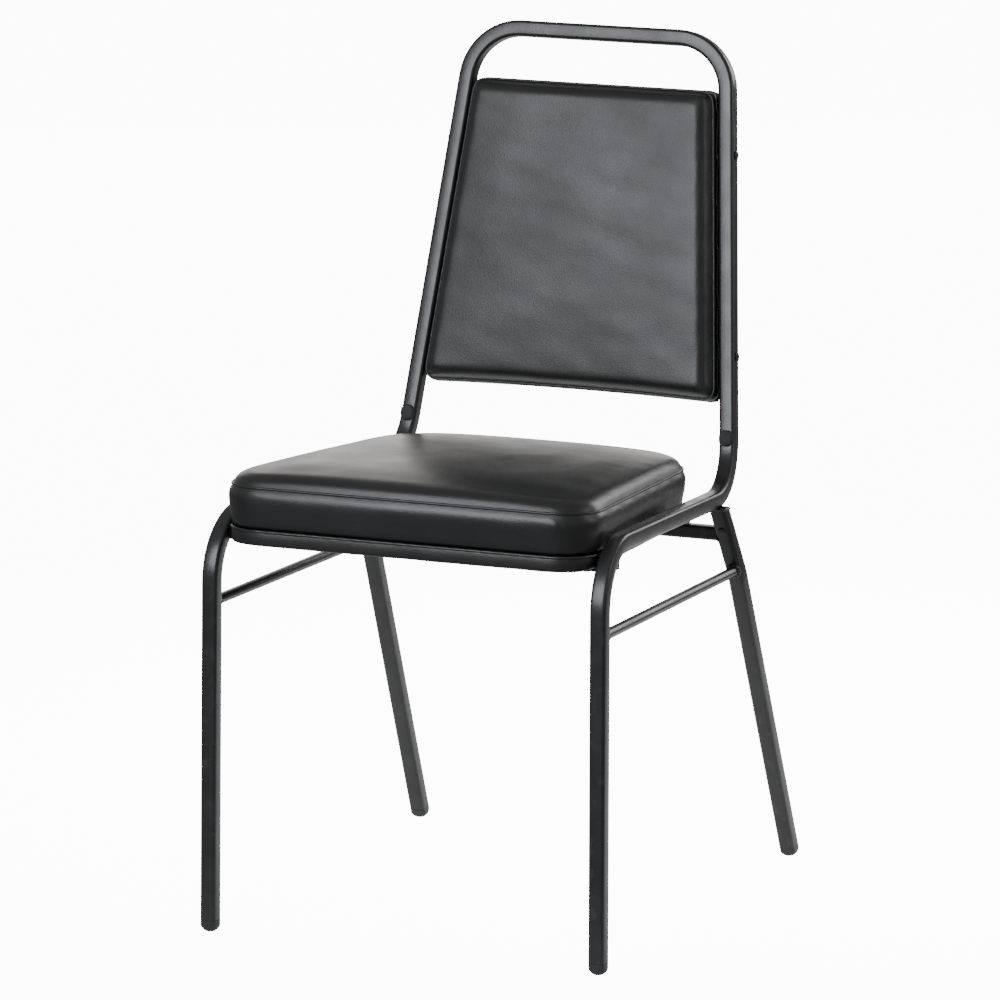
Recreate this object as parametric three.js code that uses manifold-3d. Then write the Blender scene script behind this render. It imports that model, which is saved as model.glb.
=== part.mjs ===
// Stacking chair: one bent square-tube main frame with two rear legs, a rear cross
// bar and side stretchers, an upholstered seat and an upholstered back pad.
// Millimetres, +Z up, the sitter faces -Y. The origin is on the floor under the
// middle of the chair.
import * as THREE from 'three';
import { mergeVertices } from 'three/addons/utils/BufferGeometryUtils.js';
import Module from 'manifold-3d';

const wasm = await Module();
wasm.setup();

const vec = (x, y, z) => new THREE.Vector3(x, y, z);
const X_AXIS = vec(1, 0, 0);

// ---------------------------------------------------------------- driving dimensions
const GAP = 0.3;

const TUBE = 17;
const TUBE_CORNER = 3.5;
const TUBE_WALL = 1.5;
const BAR = 14.5;
const BAR_CORNER = 2.5;
const ROD = 11;

// Centre line of the right half of the main frame; the left half mirrors it.
const FRONT_FOOT = vec(215.2, -265, 0);
const FRONT_CORNER = vec(213, -257.5, 432);
const REAR_CORNER = vec(187, 155, 411.5);
const TOP_CORNER = vec(143, 254, 872);
const FRONT_BEND = 65;
const REAR_BEND = 67;
const TOP_BEND = 58;
const BEND_STEPS = 12;

// Centre line of the right rear leg.
const REAR_FOOT = vec(215.6, 267.2, 0);
const REAR_KNEE = vec(209.5, 122, 335);
const REAR_TOP = vec(196.5, 104, 404);
const KNEE_BEND = 90;

const STRETCHER_FRONT_Z = 343.5;
const STRETCHER_REAR_Z = 338;
const REAR_BAR_Z = 377.8;

const GLIDE_LENGTH = 13;
const GLIDE_PLUG = 16;
const GLIDE_DOME_RADIUS = 12;
const GLIDE_DIP = 1.2;

const SEAT = {
  front: -273, rear: 109, halfFront: 205.5, halfRear: 166.5, frontCorner: 42, rearCorner: 60,
  frontHeight: 409.5, fall: 0.05, seamHeight: 58.5, shoulder: 12, skin: 2,
  boardThickness: 10, dustCover: 1,
};
const SEAT_WELT = { lower: 13, upper: 56, height: 2.5, proud: 0.8, depth: 1 };
const FRONT_BRACKET = { y: -218, length: 28, width: 44, rise: 20, screwInset: 14 };
const REAR_BRACKET = { left: 130, right: 160, front: 66, rear: 117, screwX: 145, screwY: 82 };
const BRACKET_THICKNESS = 3;

const BACK = {
  bottom: 92, top: 418, halfBottom: 168, halfTop: 137.6, corner: 9,
  rear: -9, seam: 14, front: 27, shoulderInset: 6.5, skin: 1.6, boardThickness: 8,
};
const BACK_WELT = 1.6;
const BACK_SCREW_HEIGHTS = [141, 352];

const BUMPER = { height: 56.5, width: 15, length: 17, thickness: 3.5 };
const LEG_PLUG = { z: 384, radius: 4, thickness: 2 };
const SCREW = { shankRadius: 2.4, headRadius: 5, headHeight: 2.6, lowHeadHeight: 1.3 };

// ---------------------------------------------------------------- materials
const material = (color, roughness, metalness) =>
  new THREE.MeshStandardMaterial({ color, roughness, metalness });
const MATERIALS = {
  frame: material(0x3a3a3c, 0.38, 0.6),
  vinyl: material(0x1c1c1e, 0.45, 0),
  nylon: material(0x101012, 0.5, 0),
  rubber: material(0x0c0c0d, 0.8, 0),
  screw: material(0x2a2a2c, 0.35, 0.9),
  board: material(0xb08d5e, 0.8, 0),
  foam: material(0xd9cf9e, 0.95, 0),
  dustCover: material(0x18181a, 0.95, 0),
};

// ---------------------------------------------------------------- solids
function toSolid(geometry) {
  const bare = geometry.clone();
  bare.deleteAttribute('normal');
  bare.deleteAttribute('uv');
  const merged = mergeVertices(bare, 1e-4);
  return new wasm.Manifold(new wasm.Mesh({
    numProp: 3,
    vertProperties: new Float32Array(merged.attributes.position.array),
    triVerts: new Uint32Array(merged.index.array),
  }));
}

function toGeometry(solid) {
  const mesh = solid.getMesh();
  const geometry = new THREE.BufferGeometry();
  geometry.setAttribute('position', new THREE.BufferAttribute(mesh.vertProperties, mesh.numProp));
  geometry.setIndex(new THREE.BufferAttribute(mesh.triVerts, 1));
  geometry.computeVertexNormals();
  return geometry;
}

const cut = (solid, ...tools) => tools.reduce((rest, tool) => rest.subtract(tool), solid);

function box(low, high) {
  const size = high.clone().sub(low);
  const middle = low.clone().add(high).multiplyScalar(0.5);
  return toSolid(new THREE.BoxGeometry(size.x, size.y, size.z).translate(...middle.toArray()));
}

function rod(from, to, radius, sides = 20) {
  const along = to.clone().sub(from);
  const turn = new THREE.Quaternion().setFromUnitVectors(vec(0, 1, 0), along.clone().normalize());
  const middle = from.clone().add(to).multiplyScalar(0.5);
  return new THREE.CylinderGeometry(radius, radius, along.length(), sides)
    .applyQuaternion(turn)
    .translate(...middle.toArray());
}

// ---------------------------------------------------------------- outlines
// A polygon with corner i rounded by a tangent arc of radius radii[i].
function roundedPolygon(corners, radii, segments) {
  const points = [];
  corners.forEach((corner, i) => {
    const before = corners[(i + corners.length - 1) % corners.length].clone().sub(corner).normalize();
    const after = corners[(i + 1) % corners.length].clone().sub(corner).normalize();
    const half = Math.acos(before.dot(after)) / 2;
    const centre = before.clone().add(after).normalize()
      .multiplyScalar(radii[i] / Math.sin(half)).add(corner);
    const start = before.clone().multiplyScalar(radii[i] / Math.tan(half)).add(corner).sub(centre);
    const sweep = Math.PI - 2 * half;
    for (let step = 0; step <= segments; step += 1) {
      points.push(start.clone().rotateAround(new THREE.Vector2(), sweep * step / segments).add(centre));
    }
  });
  return points;
}

function roundedBox(left, front, right, rear, radius, segments) {
  const corners = [[left, front], [right, front], [right, rear], [left, rear]]
    .map(([x, y]) => new THREE.Vector2(x, y));
  return roundedPolygon(corners, corners.map(() => radius), segments);
}

function squareOutline(width, radius, segments = 4) {
  const h = width / 2;
  return roundedBox(-h, -h, h, h, radius, segments);
}

// A trapezoid that is symmetric about x = 0, grown outwards by `grow`.
function trapezoid(halfLow, low, halfHigh, high, lowRadius, highRadius, grow, segments = 8) {
  const slope = (halfHigh - halfLow) / (high - low);
  const side = grow * Math.hypot(1, slope);
  const halfAt = (y) => halfLow + slope * (y - low) + side;
  const [y0, y1] = [low - grow, high + grow];
  const corners = [[-halfAt(y0), y0], [halfAt(y0), y0], [halfAt(y1), y1], [-halfAt(y1), y1]]
    .map(([x, y]) => new THREE.Vector2(x, y));
  const radii = [lowRadius, lowRadius, highRadius, highRadius].map((radius) => radius + grow);
  return roundedPolygon(corners, radii, segments);
}

// ---------------------------------------------------------------- bent tubes
// A path of straight lengths and round bends. Every station keeps one face of the
// section square to the side (X) direction, so the tube never twists.
class BentPath extends THREE.Curve {
  constructor(stations) {
    super();
    this.stations = stations;
  }

  getSpacedPoints() {
    return this.stations.map((station) => station.point);
  }

  computeFrenetFrames() {
    const tangents = this.stations.map((station) => station.tangent);
    const normals = this.stations.map((station) => station.normal);
    const binormals = tangents.map((tangent, i) => tangent.clone().cross(normals[i]).normalize());
    return { tangents, normals, binormals };
  }
}

function bend(before, corner, after, radius, segments) {
  const arriving = corner.clone().sub(before).normalize();
  const leaving = after.clone().sub(corner).normalize();
  const turn = Math.acos(arriving.dot(leaving));
  const setback = radius * Math.tan(turn / 2);
  const axis = arriving.clone().cross(leaving).normalize();
  const start = corner.clone().addScaledVector(arriving, -setback);
  const centre = axis.clone().cross(arriving).multiplyScalar(radius).add(start);
  return Array.from({ length: segments + 1 }, (_, step) => {
    const angle = turn * step / segments;
    return {
      point: start.clone().sub(centre).applyAxisAngle(axis, angle).add(centre),
      tangent: arriving.clone().applyAxisAngle(axis, angle),
    };
  });
}

const sideNormal = (tangent) => X_AXIS.clone().cross(tangent).normalize();

function withNormal(station, normal = sideNormal(station.tangent)) {
  return { ...station, normal };
}

function sweep(stations, outline, hole) {
  const shape = new THREE.Shape(outline);
  if (hole) {
    shape.holes.push(new THREE.Path(hole));
  }
  return new THREE.ExtrudeGeometry(shape, {
    steps: stations.length - 1,
    extrudePath: new BentPath(stations),
  });
}

const solidTube = (stations, width, radius) => toSolid(sweep(stations, squareOutline(width, radius)));

function hollowTube(stations, width, radius) {
  const bore = squareOutline(width - 2 * TUBE_WALL, radius - TUBE_WALL / 2, 2);
  return toSolid(sweep(stations, squareOutline(width, radius), bore));
}

function straight(from, to, normal) {
  const tangent = to.clone().sub(from).normalize();
  const square = normal ?? sideNormal(tangent);
  return [from, to].map((point) => ({ point, tangent, normal: square }));
}

const mirrored = (solid) => solid.scale([-1, 1, 1]);

// ---------------------------------------------------------------- foot glides
function legDirection(foot, next) {
  return next.clone().sub(foot).normalize();
}

function frameMatrix(origin, along) {
  const front = sideNormal(along);
  const side = along.clone().cross(front);
  return new THREE.Matrix4().makeBasis(front, side, along).setPosition(origin);
}

// A short length of square section whose lower end is rounded by an ellipsoid.
function domedEnd() {
  const block = new THREE.ExtrudeGeometry(new THREE.Shape(squareOutline(TUBE, TUBE_CORNER)), {
    depth: GLIDE_LENGTH, bevelEnabled: false,
  });
  const ball = new THREE.SphereGeometry(GLIDE_DOME_RADIUS, 32, 20).rotateX(Math.PI / 2)
    .scale(1, 1, (GLIDE_LENGTH + 1) / GLIDE_DOME_RADIUS)
    .translate(0, 0, GLIDE_LENGTH + 1);
  return toGeometry(toSolid(block).intersect(toSolid(ball)));
}

// The tip of a glide is pushed down along its leg until it dips below the floor,
// where it is cut flat.
function glideParts(foot, next) {
  const along = legDirection(foot, next);
  const dome = domedEnd();
  const placed = dome.clone().applyMatrix4(frameMatrix(foot, along));
  placed.computeBoundingBox();
  const slide = -(placed.boundingBox.min.z + GLIDE_DIP) / along.z;
  const tip = foot.clone().addScaledVector(along, slide);
  const tubeEnd = tip.clone().addScaledVector(along, GLIDE_LENGTH + GAP);
  const place = frameMatrix(tip, along);
  const reach = 40;
  const cap = toSolid(dome);
  const plugWidth = TUBE - 2 * TUBE_WALL - 2 * GAP;
  const plug = toSolid(new THREE.ExtrudeGeometry(
    new THREE.Shape(squareOutline(plugWidth, TUBE_CORNER - TUBE_WALL / 2, 2)),
    { depth: GLIDE_PLUG + 2, bevelEnabled: false },
  ).translate(0, 0, GLIDE_LENGTH - 2));
  const whole = toSolid(toGeometry(cap.add(plug)).applyMatrix4(place));
  const below = box(vec(foot.x - reach, foot.y - reach, -reach), vec(foot.x + reach, foot.y + reach, 0));
  return { glide: whole.subtract(below), tubeEnd };
}

const frontGlide = glideParts(FRONT_FOOT, FRONT_CORNER);
const rearGlide = glideParts(REAR_FOOT, REAR_KNEE);

// ---------------------------------------------------------------- main frame
const backUp = TOP_CORNER.clone().sub(REAR_CORNER).setX(0).normalize();
const backFront = sideNormal(backUp);
const TOP_MIDDLE = vec(0, TOP_CORNER.y, TOP_CORNER.z);

function mainFrameStations() {
  const leg = legDirection(FRONT_FOOT, FRONT_CORNER);
  const half = [
    withNormal({ point: frontGlide.tubeEnd, tangent: leg }),
    ...bend(FRONT_FOOT, FRONT_CORNER, REAR_CORNER, FRONT_BEND, BEND_STEPS).map((s) => withNormal(s)),
    ...bend(FRONT_CORNER, REAR_CORNER, TOP_CORNER, REAR_BEND, BEND_STEPS).map((s) => withNormal(s)),
    ...bend(REAR_CORNER, TOP_CORNER, TOP_MIDDLE, TOP_BEND, BEND_STEPS).map((s) => withNormal(s, backFront)),
  ];
  const other = half.toReversed().map(({ point, tangent, normal }) => ({
    point: point.clone().setX(-point.x),
    tangent: vec(tangent.x, -tangent.y, -tangent.z),
    normal: vec(-normal.x, normal.y, normal.z),
  }));
  return [...half, ...other];
}

const mainStations = mainFrameStations();

// A point on the back's own plane: `side` from the middle, `up` the slope from the
// rear corners, `forward` of the uprights' centre line.
function onBack(side, up, forward) {
  return vec(side, REAR_CORNER.y, REAR_CORNER.z)
    .addScaledVector(backUp, up)
    .addScaledVector(backFront, forward);
}

const uprightLength = vec(0, TOP_CORNER.y, TOP_CORNER.z)
  .distanceTo(vec(0, REAR_CORNER.y, REAR_CORNER.z));
const uprightHalf = (up) => REAR_CORNER.x + (TOP_CORNER.x - REAR_CORNER.x) * up / uprightLength;

const SCREW_FORWARD = -1;
const SCREW_REACH = 28;
const outward = new THREE.Vector2(uprightLength, REAR_CORNER.x - TOP_CORNER.x).normalize();

// A point `out` from the right upright's outer face, square to that face.
function besideUpright(up, out) {
  const reach = TUBE / 2 + out;
  return onBack(uprightHalf(up) + reach * outward.x, up + reach * outward.y, SCREW_FORWARD);
}

function backScrew(up) {
  const head = besideUpright(up, GAP + SCREW.lowHeadHeight);
  const shank = rod(besideUpright(up, -SCREW_REACH - TUBE), head, SCREW.shankRadius, 12);
  return toSolid(shank).add(toSolid(rod(besideUpright(up, GAP), head, SCREW.headRadius)));
}

function backScrewHole(up) {
  const deep = besideUpright(up, -SCREW_REACH - 1.5 * TUBE);
  return toSolid(rod(deep, besideUpright(up, TUBE / 2), SCREW.shankRadius + GAP, 12));
}

const rightHoles = BACK_SCREW_HEIGHTS.map(backScrewHole);
const backHoles = [...rightHoles, ...rightHoles.map(mirrored)];
const mainFrame = cut(hollowTube(mainStations, TUBE, TUBE_CORNER), ...backHoles);
const frameClearance = solidTube(mainStations, TUBE + 2 * GAP, TUBE_CORNER + GAP);

// ---------------------------------------------------------------- rear legs, bars, stretchers
const railSlope = (REAR_CORNER.z - FRONT_CORNER.z) / (REAR_CORNER.y - FRONT_CORNER.y);
const railSideSlope = (REAR_CORNER.x - FRONT_CORNER.x) / (REAR_CORNER.y - FRONT_CORNER.y);
const railZ = (y) => FRONT_CORNER.z + railSlope * (y - FRONT_CORNER.y);
const railX = (y) => FRONT_CORNER.x + railSideSlope * (y - FRONT_CORNER.y);
const railPitch = Math.atan(railSlope);

function rearLegStations() {
  const rise = legDirection(REAR_KNEE, REAR_TOP);
  const past = REAR_TOP.clone().addScaledVector(rise, TUBE);
  return [
    withNormal({ point: rearGlide.tubeEnd, tangent: legDirection(REAR_FOOT, REAR_KNEE) }),
    ...bend(REAR_FOOT, REAR_KNEE, past, KNEE_BEND, 5).map((s) => withNormal(s)),
    withNormal({ point: past, tangent: rise }),
  ];
}

function aboveRailUnderside() {
  const reach = 120;
  const slab = new THREE.BoxGeometry(reach, reach, reach).translate(0, 0, reach / 2)
    .rotateX(railPitch)
    .translate(REAR_TOP.x, REAR_TOP.y, railZ(REAR_TOP.y) - (TUBE / 2 + GAP) / Math.cos(railPitch));
  return toSolid(slab);
}

const legStations = rearLegStations();
const rearLeg = hollowTube(legStations, TUBE, TUBE_CORNER).subtract(aboveRailUnderside());
const legClearance = solidTube(legStations, TUBE + 2 * GAP, TUBE_CORNER + GAP);

function onLine(from, to, z) {
  return from.clone().lerp(to, (z - from.z) / (to.z - from.z));
}

function rearCrossBar() {
  const end = onLine(REAR_KNEE, REAR_TOP, REAR_BAR_Z);
  const stations = straight(end.clone().setX(-end.x), end, vec(0, -1, 0));
  return cut(hollowTube(stations, BAR, BAR_CORNER), legClearance, mirrored(legClearance));
}

function stretcher() {
  const front = onLine(FRONT_FOOT, FRONT_CORNER, STRETCHER_FRONT_Z);
  const rear = onLine(REAR_FOOT, REAR_KNEE, STRETCHER_REAR_Z);
  return cut(toSolid(rod(front, rear, ROD / 2)), frameClearance, legClearance);
}

// ---------------------------------------------------------------- bumpers and plugs
function raisedPad(outline, thickness, round) {
  return new THREE.ExtrudeGeometry(new THREE.Shape(outline), {
    depth: thickness - round, steps: 1, bevelEnabled: true, bevelThickness: round,
    bevelSize: round, bevelOffset: -round, bevelSegments: 3,
  });
}

function halfPad(outline, thickness, round, place) {
  const reach = 60;
  const whole = toSolid(raisedPad(outline, thickness, round));
  const kept = whole.subtract(box(vec(-reach, -reach, -reach), vec(reach, reach, 0)));
  return toSolid(toGeometry(kept).applyMatrix4(place));
}

function stackBumper() {
  const [w, l] = [BUMPER.width / 2, BUMPER.length / 2];
  const outline = roundedBox(-w, -l, w, l, w - 1, 6);
  const side = uprightHalf(BUMPER.height);
  const place = new THREE.Matrix4().makeBasis(X_AXIS, backUp, backFront)
    .setPosition(onBack(side, BUMPER.height, TUBE / 2 + GAP));
  return cut(halfPad(outline, BUMPER.thickness, 2, place), frameClearance);
}

function legPlug() {
  const along = legDirection(REAR_KNEE, REAR_TOP);
  const front = sideNormal(along);
  const side = along.clone().cross(front);
  const centre = onLine(REAR_KNEE, REAR_TOP, LEG_PLUG.z).addScaledVector(front, TUBE / 2 + GAP);
  const { radius, thickness } = LEG_PLUG;
  const profile = [[0, 0], [radius, 0], [radius, 0.3 * thickness], [0.75 * radius, 0.85 * thickness], [0, thickness]]
    .map(([x, y]) => new THREE.Vector2(x, y));
  const place = new THREE.Matrix4().makeBasis(side, front, side.clone().cross(front)).setPosition(centre);
  return toSolid(new THREE.LatheGeometry(profile, 20).applyMatrix4(place));
}

// ---------------------------------------------------------------- upholstery
// A pad grown from an outline, with a rounded shoulder at its top.
function padSolid(outline, bottom, top, shoulder, inset) {
  const reach = 1000;
  const body = toSolid(new THREE.ExtrudeGeometry(new THREE.Shape(outline), {
    depth: top - bottom, steps: 1, bevelEnabled: true, bevelThickness: shoulder,
    bevelSize: inset, bevelOffset: -inset, bevelSegments: 4,
  }).translate(0, 0, bottom - shoulder));
  return body.subtract(box(vec(-reach, -reach, bottom - reach), vec(reach, reach, bottom)));
}

function plate(outline, bottom, top, hole) {
  const shape = new THREE.Shape(outline);
  if (hole) {
    shape.holes.push(new THREE.Path(hole));
  }
  const depth = top - bottom;
  return toSolid(new THREE.ExtrudeGeometry(shape, { depth, bevelEnabled: false }).translate(0, 0, bottom));
}

const moved = (solid, matrix) => toSolid(toGeometry(solid).applyMatrix4(matrix));

// The seat's own frame has its underside at z = 0, falling gently towards the rear.
const seatPlace = new THREE.Matrix4().makeRotationX(-Math.atan(SEAT.fall))
  .setPosition(0, 0, SEAT.frontHeight + SEAT.fall * SEAT.front);
const seatOutline = (grow) => trapezoid(
  SEAT.halfFront, SEAT.front, SEAT.halfRear, SEAT.rear, SEAT.frontCorner, SEAT.rearCorner, grow,
);

// A cord round the seat's side, half sunk in a groove that is a gap wider than it.
function weltRing(low, slack) {
  const { height, proud, depth } = SEAT_WELT;
  return plate(seatOutline(proud + slack), low - slack, low + height + slack, seatOutline(-depth - slack));
}

function seatParts() {
  const { seamHeight, shoulder, skin, dustCover, boardThickness } = SEAT;
  const { lower, upper } = SEAT_WELT;
  const top = seamHeight + shoulder;
  const inner = seatOutline(-skin);
  const packed = seatOutline(-skin - GAP);
  const boardLow = dustCover + 2 * GAP;
  const boardTop = boardLow + boardThickness;
  const cover = padSolid(seatOutline(0), 0, top, shoulder, shoulder)
    .subtract(padSolid(inner, -skin, top - skin, shoulder, shoulder));
  return {
    cover: cut(cover, weltRing(lower, GAP), weltRing(upper, GAP)),
    foam: padSolid(packed, boardTop + GAP, top - skin - GAP, shoulder, shoulder),
    board: plate(packed, boardLow, boardTop),
    dustCover: plate(packed, GAP, GAP + dustCover),
    weltUpper: weltRing(upper, 0),
    weltLower: weltRing(lower, 0),
  };
}

// A flat strip of bracket lying just below the seat's underside.
const flangeLow = -GAP - BRACKET_THICKNESS;
function flange(left, front, right, rear) {
  return plate(roundedBox(left, front, right, rear, 3, 3), flangeLow, flangeLow + BRACKET_THICKNESS);
}

// A screw from below a flange up into the seat board, and the hole it passes through.
function seatScrew(x, y) {
  const tip = SEAT.boardThickness - 1;
  const headTop = flangeLow - GAP;
  const base = headTop - SCREW.headHeight;
  const shank = rod(vec(x, y, base), vec(x, y, tip), SCREW.shankRadius, 12);
  const head = rod(vec(x, y, base), vec(x, y, headTop), SCREW.headRadius);
  const hole = rod(vec(x, y, 2 * base), vec(x, y, tip + GAP), SCREW.shankRadius + GAP, 12);
  return { screw: moved(toSolid(shank).add(toSolid(head)), seatPlace), hole: toSolid(hole) };
}

// The front bracket hangs from the frame's front bend: a wall down to a flange.
function frontBracket() {
  const { y, length, width, rise, screwInset } = FRONT_BRACKET;
  const outer = railX(y) + BRACKET_THICKNESS / 2;
  const inner = outer - width;
  const [front, rear] = [y - length / 2, y + length / 2];
  const { screw, hole } = seatScrew(inner + screwInset, y);
  const wall = box(vec(outer - BRACKET_THICKNESS, front + 1, flangeLow), vec(outer, rear - 1, rise));
  const whole = flange(inner, front, outer, rear).add(wall).subtract(hole);
  return { bracket: cut(moved(whole, seatPlace), frameClearance), screw, hole };
}

// The rear bracket stands on the rear cross bar: a riser block under a flange.
function rearBracket() {
  const { left, right, front, rear, screwX, screwY } = REAR_BRACKET;
  const { screw, hole } = seatScrew(screwX, screwY);
  const barTop = REAR_BAR_Z + BAR / 2 + GAP;
  const flangeZ = SEAT.frontHeight - SEAT.fall * (rear - SEAT.front) + flangeLow;
  const low = vec(left + 1, rear - BAR + 1, barTop);
  const riser = box(low, vec(right - 1, rear - 1, flangeZ + BRACKET_THICKNESS / 2));
  const strip = moved(flange(left, front, right, rear).subtract(hole), seatPlace);
  return { bracket: strip.add(riser), screw, hole };
}

// The back pad's own frame has x to the side, y up the slope and z towards the sitter.
const backPlace = new THREE.Matrix4().makeBasis(X_AXIS, backUp, backFront)
  .setPosition(0, REAR_CORNER.y, REAR_CORNER.z);
const backOutline = (grow) => trapezoid(
  BACK.halfBottom, BACK.bottom, BACK.halfTop, BACK.top, BACK.corner, BACK.corner, grow, 4,
);

function backParts() {
  const { rear, seam, front, shoulderInset, skin, boardThickness } = BACK;
  const shoulder = front - seam;
  const boardLow = -boardThickness / 2;
  const boardTop = boardThickness / 2;
  const packed = backOutline(-skin - GAP);
  const rearSkin = boardLow - GAP;
  const cover = padSolid(backOutline(0), boardLow, front, shoulder, shoulderInset)
    .subtract(padSolid(backOutline(-skin), boardLow - skin, front - skin, shoulder, shoulderInset));
  const rearCover = plate(backOutline(0), rear, rearSkin);
  return {
    cover,
    rearCover,
    board: plate(packed, boardLow, boardTop),
    foam: padSolid(packed, boardTop + GAP, front - skin - GAP, shoulder, shoulderInset),
    welt: plate(backOutline(GAP + BACK_WELT), seam - BACK_WELT, seam, backOutline(GAP)),
  };
}

// ---------------------------------------------------------------- assembly
const group = new THREE.Group();

function add(name, solid, kind) {
  const mesh = new THREE.Mesh(toGeometry(solid), MATERIALS[kind]);
  mesh.name = name;
  group.add(mesh);
}

function addPair(name, solid, kind) {
  add(`${name}_right`, solid, kind);
  add(`${name}_left`, mirrored(solid), kind);
}

add('main_frame', mainFrame, 'frame');
addPair('rear_leg', rearLeg, 'frame');
add('rear_cross_bar', rearCrossBar(), 'frame');
addPair('side_stretcher', stretcher(), 'frame');
addPair('front_glide', frontGlide.glide, 'nylon');
addPair('rear_glide', rearGlide.glide, 'nylon');
addPair('stack_bumper', stackBumper(), 'rubber');
addPair('leg_plug', legPlug(), 'rubber');

const brackets = { front: frontBracket(), rear: rearBracket() };
for (const [place, { bracket, screw }] of Object.entries(brackets)) {
  addPair(`seat_bracket_${place}`, bracket, 'frame');
  addPair(`seat_screw_${place}`, screw, 'screw');
}

const seat = seatParts();
const seatHoles = Object.values(brackets).flatMap(({ hole }) => [hole, mirrored(hole)]);
add('seat_board', moved(cut(seat.board, ...seatHoles), seatPlace), 'board');
add('seat_foam', moved(seat.foam, seatPlace), 'foam');
add('seat_cover', moved(seat.cover, seatPlace), 'vinyl');
add('seat_welt_upper', moved(seat.weltUpper, seatPlace), 'vinyl');
add('seat_welt_lower', moved(seat.weltLower, seatPlace), 'vinyl');
add('seat_dust_cover', moved(cut(seat.dustCover, ...seatHoles), seatPlace), 'dustCover');

const back = backParts();
add('back_board', cut(moved(back.board, backPlace), ...backHoles), 'board');
add('back_foam', moved(back.foam, backPlace), 'foam');
add('back_cover', cut(moved(back.cover, backPlace), ...backHoles), 'vinyl');
add('back_rear_cover', moved(back.rearCover, backPlace), 'vinyl');
add('back_welt', moved(back.welt, backPlace), 'vinyl');
BACK_SCREW_HEIGHTS.forEach((up, i) => addPair(`back_screw_${['lower', 'upper'][i]}`, backScrew(up), 'screw'));

export default group;
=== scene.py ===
# Stacking chair, visual model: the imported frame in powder-coated metal, with sewn and
# stuffed vinyl upholstery in place of its plain soft solids. The scene is in metres.
# Outlines, profiles, and the points given to folds and caps are in millimetres, which
# MM turns into metres.
import math

import bmesh
import bpy
import numpy as np
from mathutils import Matrix, Vector, noise
from mathutils.bvhtree import BVHTree


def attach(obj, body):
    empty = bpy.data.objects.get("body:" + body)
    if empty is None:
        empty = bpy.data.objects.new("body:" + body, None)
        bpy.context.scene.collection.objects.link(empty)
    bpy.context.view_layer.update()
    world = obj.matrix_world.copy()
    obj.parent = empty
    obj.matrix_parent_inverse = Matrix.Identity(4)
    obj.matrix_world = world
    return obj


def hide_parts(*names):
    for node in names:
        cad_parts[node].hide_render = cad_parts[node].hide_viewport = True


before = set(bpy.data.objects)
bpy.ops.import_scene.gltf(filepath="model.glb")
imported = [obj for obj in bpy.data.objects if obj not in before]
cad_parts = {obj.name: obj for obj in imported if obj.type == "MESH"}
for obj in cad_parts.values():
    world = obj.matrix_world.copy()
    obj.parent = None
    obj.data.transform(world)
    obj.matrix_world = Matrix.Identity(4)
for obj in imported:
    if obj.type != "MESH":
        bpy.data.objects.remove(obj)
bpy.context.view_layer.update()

MM = 0.001
TINY = 1e-9
BODY = "root"

# ------------------------------------------------------------ places, as in the CAD
SEAT_FALL = 0.05
SEAT_FRONT_HEIGHT = 0.4095
# An outline is a trapezoid: half widths and places of its two ends, and corner radii.
SEAT_SPEC = dict(half_low=205.5, low=-273, half_high=166.5, high=109, r_low=42, r_high=60)
BACK_SPEC = dict(half_low=168, low=92, half_high=137.6, high=418, r_low=9, r_high=9)
REAR_CORNER = Vector((0, 0.155, 0.4115))
TOP_CORNER = Vector((0, 0.254, 0.872))

seat_place = Matrix.Translation((0, 0, SEAT_FRONT_HEIGHT + SEAT_FALL * SEAT_SPEC["low"] * MM))
seat_place = seat_place @ Matrix.Rotation(-math.atan(SEAT_FALL), 4, "X")
back_up = (TOP_CORNER - REAR_CORNER).normalized()
back_front = Vector((1, 0, 0)).cross(back_up)
back_place = Matrix.Translation(REAR_CORNER) @ Matrix((
    (1, 0, 0, 0),
    (0, back_up.y, back_front.y, 0),
    (0, back_up.z, back_front.z, 0),
    (0, 0, 0, 1),
))


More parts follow.
